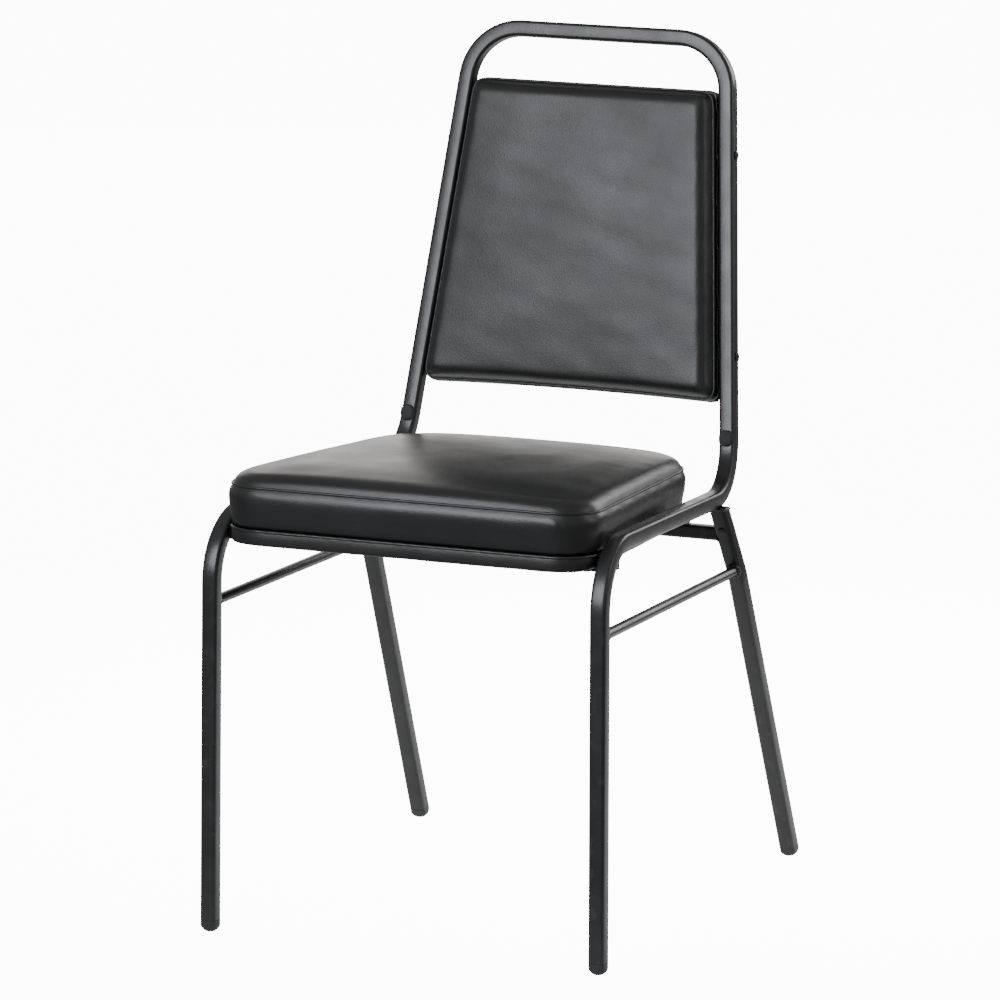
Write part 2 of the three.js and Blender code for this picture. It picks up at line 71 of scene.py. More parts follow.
# ------------------------------------------------------------ material building
class Shader:
    """A node material whose nodes are made with their inputs already set or linked."""

    def __init__(self, name):
        self.material = bpy.data.materials.new(name)
        self.material.use_nodes = True
        self.tree = self.material.node_tree
        self.surface = self.tree.nodes["Principled BSDF"]
        self.place = self.node("ShaderNodeTexCoord").outputs["Object"]

    def set(self, node, inputs):
        for key, value in inputs.items():
            socket = node.inputs[key]
            if isinstance(value, bpy.types.NodeSocket):
                self.tree.links.new(value, socket)
            else:
                socket.default_value = value

    def node(self, kind, inputs=None, **settings):
        made = self.tree.nodes.new(kind)
        for key, value in settings.items():
            setattr(made, key, value)
        self.set(made, inputs or {})
        return made

    def noise(self, scale, detail=4.0, rough=0.55, stretch=(1, 1, 1)):
        mapped = self.node("ShaderNodeMapping", {"Vector": self.place, "Scale": stretch})
        texture = self.node("ShaderNodeTexNoise", {
            "Vector": mapped.outputs[0], "Scale": scale, "Detail": detail, "Roughness": rough})
        return texture.outputs["Fac"]

    def cells(self, scale):
        texture = self.node("ShaderNodeTexVoronoi", {"Vector": self.place, "Scale": scale})
        return texture.outputs["Distance"]

    def ramp(self, value, low, high, to_low=0.0, to_high=1.0):
        spread = self.node("ShaderNodeMapRange", {
            "Value": value, "From Min": low, "From Max": high,
            "To Min": to_low, "To Max": to_high})
        return spread.outputs[0]

    def mix(self, factor, first, second):
        mixed = self.node("ShaderNodeMix", data_type="RGBA")
        self.set(mixed, {0: factor})
        for slot, colour in ((6, first), (7, second)):
            is_link = isinstance(colour, bpy.types.NodeSocket)
            self.set(mixed, {slot: colour if is_link else (*colour, 1.0)})
        return mixed.outputs[2]

    def times(self, first, second):
        return self.node("ShaderNodeMath", {0: first, 1: second}, operation="MULTIPLY").outputs[0]

    def bump(self, height, strength, distance, below=None):
        inputs = {"Height": height, "Strength": strength, "Distance": distance}
        if below is not None:
            inputs["Normal"] = below
        return self.node("ShaderNodeBump", inputs).outputs[0]

    def finish(self, **inputs):
        self.set(self.surface, {key.replace("_", " "): value for key, value in inputs.items()})
        return self.material


COAT_DARK, COAT_LIGHT, COAT_WORN = (0.009, 0.009, 0.0093), (0.015, 0.015, 0.0156), (0.11, 0.11, 0.112)
VINYL_DARK, VINYL_LIGHT = (0.006, 0.006, 0.0064), (0.0105, 0.0105, 0.011)
ZINC_DARK, ZINC_LIGHT = (0.02, 0.02, 0.022), (0.07, 0.07, 0.072)
CLOTH_DARK, CLOTH_LIGHT = (0.008, 0.008, 0.009), (0.03, 0.03, 0.032)
FLOOR_FAR, FLOOR_NEAR_LOW, FLOOR_NEAR_HIGH = (0.22,) * 3, (0.58,) * 3, (0.64,) * 3
WHITE = (1, 1, 1, 1)
NOISE_RANGE = (0.3, 0.7)


def powder_coat():
    coat = Shader("powder_coat")
    patches = coat.ramp(coat.noise(scale=30), low=0.35, high=0.65)
    paint = coat.mix(patches, COAT_DARK, COAT_LIGHT)
    pointiness = coat.node("ShaderNodeNewGeometry").outputs["Pointiness"]
    edge = coat.ramp(pointiness, low=0.53, high=0.6)
    wear = coat.ramp(coat.noise(scale=70, detail=6), low=0.56, high=0.7, to_high=0.2)
    colour = coat.mix(coat.times(edge, wear), paint, COAT_WORN)
    peel = coat.bump(coat.noise(scale=850, detail=2), strength=0.12, distance=0.0004)
    waves = coat.bump(coat.noise(scale=160, detail=2), strength=0.1, distance=0.0008, below=peel)
    rough = coat.ramp(coat.noise(scale=22), *NOISE_RANGE, to_low=0.25, to_high=0.36)
    return coat.finish(Base_Color=colour, Roughness=rough, Normal=waves)


def vinyl(name, rough_low, rough_high, fold_strength):
    skin = Shader(name)
    colour = skin.mix(skin.ramp(skin.noise(scale=9), *NOISE_RANGE), VINYL_DARK, VINYL_LIGHT)
    pores = skin.bump(skin.cells(scale=620), strength=0.2, distance=0.0003)
    grain = skin.noise(scale=300, detail=3)
    pebble = skin.bump(grain, strength=0.1, distance=0.0004, below=pores)
    slow = skin.noise(scale=14, detail=3, rough=0.5, stretch=(1, 2.2, 1))
    folds = skin.bump(slow, strength=fold_strength, distance=0.004, below=pebble)
    rough = skin.ramp(skin.noise(scale=16, detail=5), *NOISE_RANGE, rough_low, rough_high)
    return skin.finish(Base_Color=colour, Roughness=rough, Normal=folds)


def moulded(name, dark, light, rough, grain_scale, grain_strength):
    plastic = Shader(name)
    colour = plastic.mix(plastic.ramp(plastic.noise(scale=120), *NOISE_RANGE), dark, light)
    spread = 0.08
    dust = plastic.ramp(plastic.noise(scale=45, detail=6), *NOISE_RANGE, rough - spread,
                        rough + spread)
    grain = plastic.noise(scale=grain_scale, detail=3)
    return plastic.finish(Base_Color=colour, Roughness=dust,
                          Normal=plastic.bump(grain, grain_strength, distance=0.0003))


def zinc():
    metal = Shader("black_zinc")
    colour = metal.mix(metal.ramp(metal.noise(scale=400, detail=5), low=0.4, high=0.7),
                       ZINC_DARK, ZINC_LIGHT)
    rough = metal.ramp(metal.noise(scale=300), *NOISE_RANGE, to_low=0.28, to_high=0.45)
    pits = metal.bump(metal.noise(scale=900, detail=2), strength=0.1, distance=0.0002)
    return metal.finish(Base_Color=colour, Metallic=0.8, Roughness=rough, Normal=pits)


def fleece():
    cloth = Shader("dust_cover_cloth")
    fibre = cloth.noise(scale=700, detail=6, rough=0.7, stretch=(1, 0.15, 1))
    colour = cloth.mix(cloth.ramp(fibre, low=0.4, high=0.65), CLOTH_DARK, CLOTH_LIGHT)
    weave = cloth.bump(fibre, strength=0.5, distance=0.0005)
    return cloth.finish(Base_Color=colour, Roughness=0.95, Normal=weave)


def backdrop():
    """A floor that reads as plain white, with a pool of light under and behind the chair."""
    pale = Shader("pale_floor")
    offset = pale.node("ShaderNodeVectorMath", {0: pale.place, 1: POOL_MIDDLE},
                       operation="DISTANCE").outputs["Value"]
    pool = pale.ramp(offset, POOL_INNER, POOL_OUTER, to_low=1.0, to_high=0.0)
    near = pale.mix(pale.noise(scale=1.5), FLOOR_NEAR_LOW, FLOOR_NEAR_HIGH)
    seen = pale.node("ShaderNodeLightPath").outputs["Is Camera Ray"]
    glow = pale.node("ShaderNodeMath", {0: pool, 1: POOL_LIGHT, 2: pale.times(seen, FLOOR_GLOW)},
                     operation="MULTIPLY_ADD").outputs[0]
    return pale.finish(Base_Color=pale.mix(pool, FLOOR_FAR, near), Roughness=0.7,
                       Emission_Color=WHITE, Emission_Strength=glow)


FLOOR_GLOW = 12.0
POOL_MIDDLE = (0, 0.7, 0)
POOL_INNER, POOL_OUTER = 0.7, 1.3
POOL_LIGHT = 0.7
WORLD_LIGHT = 0.4
COAT = powder_coat()
SEAT_VINYL = vinyl("seat_vinyl", 0.32, 0.40, 0.12)
BACK_VINYL = vinyl("back_vinyl", 0.38, 0.46, 0.14)
NYLON = moulded("nylon", (0.010, 0.010, 0.011), (0.018, 0.018, 0.019), 0.45, 500, 0.15)
RUBBER = moulded("rubber", (0.008, 0.008, 0.009), (0.015, 0.015, 0.016), 0.7, 350, 0.3)
ZINC = zinc()
FLEECE = fleece()

# ------------------------------------------------------------ meshes
RING_POINTS = 176
CORNER_STEPS = 10
LEAST_RADIUS = 2.0


def rounded_outline(half_low, low, half_high, high, r_low, r_high, grow):
    """Corner arcs of a trapezoid symmetric about x = 0, grown outwards, in millimetres."""
    slope = (half_high - half_low) / (high - low)
    side = grow * math.hypot(1, slope)
    low_y, high_y = low - grow, high + grow
    half = {y: half_low + slope * (y - low) + side for y in (low_y, high_y)}
    corners = [Vector((sign * half[y], y)) for sign, y in
               ((1, low_y), (1, high_y), (-1, high_y), (-1, low_y))]
    radii = [max(radius + grow, LEAST_RADIUS) for radius in (r_low, r_high, r_high, r_low)]
    points = [Vector((0, low_y))]
    for i, corner in enumerate(corners):
        before = (corners[i - 1] - corner).normalized()
        after = (corners[(i + 1) % 4] - corner).normalized()
        half_angle = before.angle(after) / 2
        centre = corner + (before + after).normalized() * radii[i] / math.sin(half_angle)
        start = corner + before * radii[i] / math.tan(half_angle) - centre
        sweep = math.pi - 2 * half_angle
        for step in range(CORNER_STEPS + 1):
            turn = Matrix.Rotation(sweep * step / CORNER_STEPS, 2)
            points.append(centre + turn @ start)
    return points


def resample(points, count):
    """Evenly spaced points round a closed line."""
    ends = points[1:] + points[:1]
    lengths = [(b - a).length for a, b in zip(points, ends)]
    pitch = sum(lengths) / count
    spaced, i, along = [], 0, 0.0
    for k in range(count):
        target = k * pitch
        while along + lengths[i] < target:
            along += lengths[i]
            i += 1
        spaced.append(points[i].lerp(ends[i], (target - along) / max(lengths[i], TINY)))
    return spaced


def ring(spec, grow, height, scale=1.0, count=RING_POINTS):
    """One level of a pad: the outline at that growth, shrunk to its middle by scale."""
    middle = Vector((0, (spec["low"] + spec["high"]) / 2))
    flat = [middle.lerp(p, scale) for p in resample(rounded_outline(**spec, grow=grow), count)]
    return [Vector((p.x, p.y, height)) * MM for p in flat]


def new_object(name, verts, faces):
    mesh = bpy.data.meshes.new(name)
    mesh.from_pydata([tuple(v) for v in verts], [], faces)
    mesh.update()
    obj = bpy.data.objects.new(name, mesh)
    bpy.context.scene.collection.objects.link(obj)
    return obj


def loft(name, rings):
    """A closed body through rings of equal count, with a flat face at each end."""
    count = len(rings[0])
    verts = [v for level in rings for v in level]
    faces = [tuple(reversed(range(count)))]
    for level in range(len(rings) - 1):
        base = level * count
        for i in range(count):
            j = (i + 1) % count
            faces.append((base + i, base + j, base + count + j, base + count + i))
    faces.append(tuple(range(len(verts) - count, len(verts))))
    return new_object(name, verts, faces)


TUBE_SIDES = 10


def closed_tube(name, path, outward, radius, ripple, pitch):
    """A round cord along a closed path; its radius swells every `pitch` points."""
    count = len(path)
    verts = []
    for i, point in enumerate(path):
        along = (path[(i + 1) % count] - path[i - 1]).normalized()
        out = (outward[i] - along * outward[i].dot(along)).normalized()
        side = along.cross(out)
        size = radius * (1 + ripple * math.cos(math.tau * (i % pitch) / pitch))
        for k in range(TUBE_SIDES):
            angle = math.tau * k / TUBE_SIDES
            verts.append(point + (out * math.cos(angle) + side * math.sin(angle)) * size)
    faces = []
    for i in range(count):
        here, there = i * TUBE_SIDES, (i + 1) % count * TUBE_SIDES
        for k in range(TUBE_SIDES):
            m = (k + 1) % TUBE_SIDES
            faces.append((here + k, there + k, there + m, here + m))
    return new_object(name, verts, faces)


def face_outwards(obj):
    built = bmesh.new()
    built.from_mesh(obj.data)
    bmesh.ops.recalc_face_normals(built, faces=built.faces)
    built.to_mesh(obj.data)
    built.free()


def settle(obj, place=None):
    """Turns faces outwards, shades smooth and moves the mesh to its place on the chair."""
    if place is not None:
        obj.data.transform(place)
    face_outwards(obj)
    obj.data.polygons.foreach_set("use_smooth", [True] * len(obj.data.polygons))
    obj.data.update()


def register(obj, material, nodes=()):
    obj.data.materials.clear()
    obj.data.materials.append(material)
    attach(obj, BODY)
    if nodes:
        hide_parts(*nodes)
    return obj


def apply_modifiers(obj):
    depsgraph = bpy.context.evaluated_depsgraph_get()
    mesh = bpy.data.meshes.new_from_object(obj.evaluated_get(depsgraph))
    old = obj.data
    obj.modifiers.clear()
    obj.data = mesh
    bpy.data.meshes.remove(old)


# ------------------------------------------------------------ stuffed pads
VOXEL = 0.0045
SOFTEN_FACTOR, SOFTEN_ROUNDS = 0.5, 4
SIM_FRAMES = 20
PRESSURE = 4.0
EVEN_ROUNDS = 60


def even_mesh(obj):
    remesh = obj.modifiers.new("even", "REMESH")
    remesh.mode = "VOXEL"
    remesh.voxel_size = VOXEL
    soften = obj.modifiers.new("soften", "SMOOTH")
    soften.factor = SOFTEN_FACTOR
    soften.iterations = SOFTEN_ROUNDS
    apply_modifiers(obj)


def spread_evenly(obj, moves, rounds):
    """Averages each point's move with its neighbours', which takes out small wrinkles."""
    mesh = obj.data
    edges = np.empty(len(mesh.edges) * 2, dtype=np.int64)
    mesh.edges.foreach_get("vertices", edges)
    first, second = edges[0::2], edges[1::2]
    links = np.bincount(edges, minlength=len(moves))[:, None]
    for _ in range(rounds):
        total = np.zeros_like(moves)
        np.add.at(total, first, moves[second])
        np.add.at(total, second, moves[first])
        moves = (moves + total / links) / 2
    return moves


def inflate(obj, is_held, most):
    """Swells the pad by cloth simulation; held points stay and no point moves past most."""
    scene = bpy.context.scene
    start = [v.co.copy() for v in obj.data.vertices]
    held = obj.vertex_groups.new(name="held")
    held.add([i for i, co in enumerate(start) if is_held(co / MM)], 1.0, "REPLACE")
    cloth = obj.modifiers.new("stuffing", "CLOTH")
    cloth.settings.vertex_group_mass = held.name
    cloth.settings.use_pressure = True
    cloth.settings.uniform_pressure_force = PRESSURE
    cloth.settings.effector_weights.gravity = 0
    cloth.point_cache.frame_start = 1
    cloth.point_cache.frame_end = SIM_FRAMES
    for step in range(1, SIM_FRAMES + 1):
        scene.frame_set(step)
    apply_modifiers(obj)
    moves = np.array([v.co - origin for v, origin in zip(obj.data.vertices, start)])
    limits = np.array([most(origin / MM) * MM for origin in start])[:, None]
    lengths = np.maximum(np.linalg.norm(moves, axis=1, keepdims=True), TINY)
    capped = moves / lengths * limits * np.tanh(lengths / limits)
    moves = spread_evenly(obj, capped, EVEN_ROUNDS)
    for vertex, origin, move in zip(obj.data.vertices, start, moves):
        vertex.co = origin + Vector(move)
    scene.frame_set(1)


def crease(obj, depth):
    """Moves points along their normals by depth(point, in millimetres)."""
    moves = [v.normal * depth(v.co / MM) * MM for v in obj.data.vertices]
    for vertex, move in zip(obj.data.vertices, moves):
        vertex.co += move


def fine(obj):
    subdivide = obj.modifiers.new("fine", "SUBSURF")
    subdivide.levels = 1
    subdivide.render_levels = 1
    apply_modifiers(obj)


DOME_POWER = 2.0
CROWN_SCALES = (0.98, 0.95, 0.91, 0.86, 0.8, 0.72, 0.62, 0.5, 0.36, 0.2)


def corner_share(spec, point, reach):
    """1 at the outline's corners, fading to 0 about `reach` millimetres from them."""
    corners = [(s * spec[half], spec[y]) for s in (-1, 1)
               for half, y in (("half_low", "low"), ("half_high", "high"))]
    near = min(math.hypot(point.x - x, point.y - y) for x, y in corners)
    return math.exp(-(near / reach) ** 2)


def half_at(spec, y):
    share = (y - spec["low"]) / (spec["high"] - spec["low"])
    return spec["half_low"] + share * (spec["half_high"] - spec["half_low"])


def dome(spec, point, inset):
    """1 over the middle of a pad, falling smoothly to 0 at `inset` inside its edge."""
    middle = (spec["low"] + spec["high"]) / 2
    reach = (spec["high"] - spec["low"]) / 2 - inset
    across = abs(point.x) / (half_at(spec, point.y) - inset)
    along = abs(point.y - middle) / reach
    return max(1 - across ** DOME_POWER, 0) * max(1 - along ** DOME_POWER, 0)


def pad_rings(spec, profile, crown):
    """profile: (height, growth) up the side, then a smooth crown over the top."""
    height, edge = profile[-1]
    rings = [ring(spec, grow, level) for level, grow in profile]
    for scale in CROWN_SCALES:
        level = ring(spec, edge, height, scale)
        for point in level:
            point.z += crown * MM * dome(spec, point / MM, -edge)
        rings.append(level)
    return rings


# Seat cushion, in millimetres above the seat's underside.
SEAT_SEAM = 58.0
SEAT_LOWER_SEAM = 14.2
SEAT_SIDE = [(14.0, -1.6), (15.5, -0.8), (20, -0.1), (30, 0.8), (38, 2.4), (48, 3.8), (54, 2.6),
             (57, 0.4), (58, -0.8), (59.5, -0.5), (63, -1.0), (67.5, -3.0), (71, -6.2), (73, -10.2),
             (74.2, -16)]
SEAT_CROWN = 5.0
SEAT_CORNER_DROP = 3.0
CORNER_REACH, DROP_START, DROP_RISE = 60, 6, 14
SEAT_BOARD_EDGE = 15.5
STITCH_HALF = 2.0
RAIL_LEVEL = 38
CAP_BELOW_RAIL, CAP_RISE = 12, 20
SEAT_SWELL_LOW, SEAT_SWELL_MORE = 0.7, 1.5
PUCKER_REACH = 75
PUCKER_HIGH, PUCKER_LOW, TOP_WAVES = 0.9, 0.35, 0.35
PUCKER_FLAT, PUCKER_UP, PUCKER_SLANT = 0.03, 0.09, 0.02
TOP_WAVE_RATE = 0.018
SEAM_BORDER = 4


def drop_corners(rings):
    for level in rings:
        for point in level:
            above = max(point.z / MM - SEAT_SEAM + DROP_START, 0) / DROP_RISE
            near = corner_share(SEAT_SPEC, point / MM, CORNER_REACH)
            point.z -= SEAT_CORNER_DROP * MM * min(above, 1) * near


def seat_held(p):
    """The board edge, and the ring where the seam's stitches hold the cover in."""
    return p.z < SEAT_BOARD_EDGE or abs(p.z - SEAT_SEAM) < STITCH_HALF


def seat_most(p):
    """How far the cover may swell: less where it passes between the rails."""
    share = min(max((p.z - RAIL_LEVEL + CAP_BELOW_RAIL) / CAP_RISE, 0), 1)
    return SEAT_SWELL_LOW + SEAT_SWELL_MORE * share


def seat_folds(p):
    """Puckers in the boxing that fade from the corners, and slow waves on the top."""
    if p.z < SEAT_SEAM - SEAM_BORDER:
        at_corner = corner_share(SEAT_SPEC, p, PUCKER_REACH)
        slant = Vector((p.x * PUCKER_FLAT, p.y * PUCKER_FLAT, p.z * PUCKER_UP + p.x * PUCKER_SLANT))
        gain = PUCKER_HIGH if p.z > RAIL_LEVEL else PUCKER_LOW
        return gain * at_corner * noise.noise(slant)
    return TOP_WAVES * noise.noise(p * TOP_WAVE_RATE)


def make_seat_cushion():
    rings = pad_rings(SEAT_SPEC, SEAT_SIDE, SEAT_CROWN)
    drop_corners(rings)
    pad = loft("seat_cushion", rings)
    face_outwards(pad)
    even_mesh(pad)
    inflate(pad, seat_held, seat_most)
    crease(pad, seat_folds)
    fine(pad)
    return pad


# Back pad, in millimetres forward of the uprights' centre line.
BACK_SEAM = 10.0
BACK_SIDE = [(-4, -1), (0, 0), (6, 0), (8.5, -2.0), (10, -3.8), (11.5, -3.9), (15, -4.4),
             (20, -5.8), (24, -8.2), (26.2, -11.4), (27.2, -16)]
BACK_CROWN = 2.0
BACK_BOW = 3.0
BOW_REACH = 60
BACK_SWELL = 0.8
BACK_FACE = 26
DRAG_LINES, GATHERS = 0.55, 0.3
DRAG_ACROSS, DRAG_SLANT, DRAG_ALONG, DRAG_LAYER = 0.02, 0.012, 0.045, 0.3
GATHER_RATE, GATHER_LAYER = 0.08, 4.1


def back_held(p):
    return p.z < BACK_SEAM + 1


def back_most(p):
    return BACK_SWELL


def bow_bottom(rings):
    """Lifts the lower edge between the pad's two bottom corners."""
    for point in (p for level in rings for p in level):
        x, y = point.x / MM, point.y / MM
        near = max(1 - (y - BACK_SPEC["low"]) / BOW_REACH, 0)
        point.y += BACK_BOW * MM * near * max(1 - (x / BACK_SPEC["half_low"]) ** 2, 0)
    return rings


def back_folds(p):
    """Shallow drag lines in the face and gathers near the rolled edges."""
    if p.z < BACK_SEAM + 2:
        return 0.0
    slanted = p.x * DRAG_ACROSS + p.y * DRAG_SLANT
    lines = noise.noise(Vector((slanted, p.y * DRAG_ALONG, DRAG_LAYER)))
    rolled = Vector((p.x * GATHER_RATE, p.y * GATHER_RATE, GATHER_LAYER))
    gather = noise.noise(rolled) if p.z < BACK_FACE else 0.0
    return DRAG_LINES * lines + GATHERS * gather


def make_back_cushion():
    pad = loft("back_cushion", bow_bottom(pad_rings(BACK_SPEC, BACK_SIDE, BACK_CROWN)))
    face_outwards(pad)
    even_mesh(pad)
    inflate(pad, back_held, back_most)
    crease(pad, back_folds)
    fine(pad)
    return pad


# ------------------------------------------------------------ piping
PIPING_POINTS = 720
PIPING_RIPPLE, PIPING_PITCH = 0.07, 8
PROBE = 0.02
PIPING_ROUNDS, WELD_ROUNDS = 6, 2


def piping(name, spec, grow, height, radius, pad, sink):
    """A sewn cord round a pad's seam, set against the pad's surface or on the outline."""
    tree = BVHTree.FromObject(pad, bpy.context.evaluated_depsgraph_get()) if pad else None
    line = ring(spec, grow, height, count=PIPING_POINTS)
    if spec is BACK_SPEC:
        bow_bottom([line])
    path, outward = [], []
    for i, point in enumerate(line):
        along = (line[(i + 1) % PIPING_POINTS] - line[i - 1]).normalized()
        out = along.cross(Vector((0, 0, 1))).normalized()
        hit = tree.ray_cast(point + out * PROBE, -out, 2 * PROBE)[0] if tree else None
        surface = hit if hit is not None else point
        path.append(surface + out * radius * sink)
        outward.append(out)
    return closed_tube(name, smoothed(path, PIPING_ROUNDS), outward, radius, PIPING_RIPPLE, PIPING_PITCH)


def smoothed(path, rounds):
    for _ in range(rounds):
        path = [(path[i - 1] + 2 * p + path[(i + 1) % len(path)]) / 4 for i, p in enumerate(path)]
    return path


# ------------------------------------------------------------ lower seat band and base
BAND_LEVELS = [(1.1, -8.6), (1.0, -6.4), (1.0, -3.2), (1.4, -1.5), (2.6, -0.6), (4, -0.3),
               (12, -0.3), (13.0, -0.6), (13.5, -1.5)]
BAND_WAVES, BAND_WAVE_RATE = 0.35, 0.05
PANEL_LEVELS = [(-4.4, -2), (-4.6, -0.6), (-5.4, 0), (-7.4, -0.3), (-8.6, -1.8)]
PANEL_CROWN = -2.2
BAND_LIP, BAND_LIP_TOP = 2.5, 10
BAND_LIP_START, BAND_LIP_RUN = -240, 20
DUST_COVER_INSET = -9
DUST_LOW, DUST_HIGH = 0.15, 0.75
STAPLE_COUNT = 44
STAPLE_HALF = 5.0
STAPLE_WIDTH, STAPLE_RISE, STAPLE_TOP = 0.6, 0.5, 0.2
STAPLE_INSET = 6


def make_band():
    """The boxed base of the seat, with a lip along its front and a flat underside within it."""
    rings = [ring(SEAT_SPEC, grow, height) for height, grow in BAND_LEVELS]
    for point in (p for level in rings[1:] for p in level):
        low = max(1 - point.z / MM / BAND_LIP_TOP, 0)
        forward = min(max((BAND_LIP_START - point.y / MM) / BAND_LIP_RUN, 0), 1)
        point.z -= BAND_LIP * MM * low * forward
    band = loft("seat_band", rings)
    face_outwards(band)
    crease(band, lambda p: BAND_WAVES * noise.noise(p * BAND_WAVE_RATE))
    return band


def polygon_area(points):
    pairs = zip(points, points[1:] + points[:1])
    return abs(sum(a.x * b.y - b.x * a.y for a, b in pairs)) / 2


def make_dust_cover():
    low = ring(SEAT_SPEC, DUST_COVER_INSET, DUST_LOW)
    high = ring(SEAT_SPEC, DUST_COVER_INSET, DUST_HIGH)
    return loft("dust_cover_sheet", [low, high]), polygon_area(low)


def make_staples():
    """A row of staples that hold the dust cover's edge to the seat's base."""
    line = ring(SEAT_SPEC, DUST_COVER_INSET - STAPLE_INSET, DUST_LOW, count=STAPLE_COUNT)
    verts, faces = [], []
    for i, point in enumerate(line):
        along = (line[(i + 1) % STAPLE_COUNT] - line[i - 1]).normalized()
        side = along.cross(Vector((0, 0, 1)))
        base = len(verts)
        for z in (STAPLE_TOP, -STAPLE_RISE):
            for a, b in ((-1, -1), (1, -1), (1, 1), (-1, 1)):
                offset = along * a * STAPLE_HALF + side * b * STAPLE_WIDTH / 2
                verts.append(point + (offset + Vector((0, 0, z))) * MM)
        quads = [(0, 1, 2, 3), (4, 7, 6, 5)]
        quads += [(k, k + 4, (k + 1) % 4 + 4, (k + 1) % 4) for k in range(4)]
        faces += [tuple(base + v for v in quad) for quad in quads]
    return new_object("dust_cover_staples", verts, faces)


def make_rear_panel():
    rings = bow_bottom(pad_rings(BACK_SPEC, PANEL_LEVELS, PANEL_CROWN))
    return loft("back_rear_panel", rings)


# ------------------------------------------------------------ weld beads
WELD_POINTS = 72
WELD_RIPPLE, WELD_PITCH = 0.12, 6
WELD_BINS = 36
WELD_OUTER = 0.6


def end_loop(node, axis, sign, depth):
    """The outer edge of a tube's end, as evenly spaced points, and the end's middle."""
    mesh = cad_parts[node].data
    far = max(sign * v.co[axis] for v in mesh.vertices)
    ends = [v.co.copy() for v in mesh.vertices if sign * v.co[axis] > far - depth]
    middle = sum(ends, Vector()) / len(ends)
    across, up = [i for i in range(3) if i != axis]
    bins = {}
    for point in ends:
        flat = (point[across] - middle[across], point[up] - middle[up])
        key = round(math.atan2(flat[1], flat[0]) / math.tau * WELD_BINS)
        if key not in bins or math.hypot(*flat) > bins[key][0]:
            bins[key] = (math.hypot(*flat), point)
    outer = [bins[key][1] for key in sorted(bins)]
    reach = max(size for size, _ in bins.values())
    kept = [p for p in outer if (p - middle).length > WELD_OUTER * reach]
    return resample(kept, WELD_POINTS), middle


def weld(name, node, axis, sign, radius, depth):
    loop, middle = end_loop(node, axis, sign, depth)
    outward = [(p - middle).normalized() for p in loop]
    bead = closed_tube(name, smoothed(loop, WELD_ROUNDS), outward, radius, WELD_RIPPLE, WELD_PITCH)
    settle(bead)
    return register(bead, COAT)


# ------------------------------------------------------------ screw heads
# Each ring of a head: radius, height, and whether it follows the hexagon socket.
SCREW_DOME = 1.35
SCREW_RINGS = [(5.0, 0.0, False), (5.0, 0.5, False), (4.6, 0.95, False), (3.8, 1.25, False),
               (2.9, SCREW_DOME, False), (2.3, 1.3, True), (2.2, 0.35, True), (0.6, 0.3, True)]
SCREW_SIDES = 48
HEAD_FACE = 0.0006


def hexagon(angle):
    """Distance from the middle to a hexagon's edge, as a share of its corner radius."""
    sector = math.tau / 6
    return math.cos(sector / 2) / math.cos((angle % sector) - sector / 2)


def screw_head(name, node, direction, tall):
    """A domed head with a hexagon socket, facing `direction`, on the CAD head's place."""
    points = [v.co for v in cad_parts[node].data.vertices]
    far = max(points, key=lambda p: p.dot(direction)).dot(direction)
    top = [p for p in points if p.dot(direction) > far - HEAD_FACE]
    middle = sum(top, Vector()) / len(top)
    turn = direction.to_track_quat("Z", "Y").to_matrix()
    stretch = tall / SCREW_DOME
    rings = []
    for radius, height, is_hex in SCREW_RINGS:
        level = []
        for k in range(SCREW_SIDES):
            angle = math.tau * k / SCREW_SIDES
            size = radius * (hexagon(angle) if is_hex else 1)
            local = Vector((size * math.cos(angle), size * math.sin(angle), height * stretch - tall))
            level.append(middle + turn @ local * MM)
        rings.append(level)
    head = loft(name, rings)
    settle(head)
    return register(head, ZINC, (node,))


# ------------------------------------------------------------ the kept CAD nodes
SMOOTH_ANGLE = math.radians(40)
MERGE_DISTANCE = 1e-5


def smooth_tubes():
    """Geometry nodes that join a faceted node's corners and shade its bends smooth."""
    tree = bpy.data.node_groups.new("smooth_tubes", "GeometryNodeTree")
    for way in ("INPUT", "OUTPUT"):
        tree.interface.new_socket("Geometry", in_out=way, socket_type="NodeSocketGeometry")
    make = tree.nodes.new
    start, end = make("NodeGroupInput"), make("NodeGroupOutput")
    merge, faces, edges = (make("GeometryNodeMergeByDistance"), make("GeometryNodeSetShadeSmooth"),
                           make("GeometryNodeSetShadeSmooth"))
    angle, small = make("GeometryNodeInputMeshEdgeAngle"), make("FunctionNodeCompare")
    merge.inputs["Distance"].default_value = MERGE_DISTANCE
    edges.domain = "EDGE"
    small.operation = "LESS_THAN"
    small.inputs[1].default_value = SMOOTH_ANGLE
    join = tree.links.new
    join(start.outputs[0], merge.inputs["Geometry"])
    join(merge.outputs["Geometry"], faces.inputs["Geometry"])
    join(faces.outputs["Geometry"], edges.inputs["Geometry"])
    join(angle.outputs["Unsigned Angle"], small.inputs[0])
    join(small.outputs["Result"], edges.inputs["Shade Smooth"])
    join(edges.outputs["Geometry"], end.inputs[0])
    return tree


KEPT = {"main_frame": COAT, "rear_leg": COAT, "rear_cross_bar": COAT, "side_stretcher": COAT,
        "seat_bracket": COAT, "front_glide": NYLON, "rear_glide": NYLON,
        "stack_bumper": RUBBER, "leg_plug": NYLON}
tubes = smooth_tubes()
for node_name, node_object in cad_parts.items():
    for prefix, finish in KEPT.items():
        if node_name.startswith(prefix):
            node_object.data.materials.clear()
            node_object.data.materials.append(finish)
            node_object.modifiers.new("smooth", "NODES").node_group = tubes

# ------------------------------------------------------------ upholstery
seat_cushion = make_seat_cushion()
back_cushion = make_back_cushion()

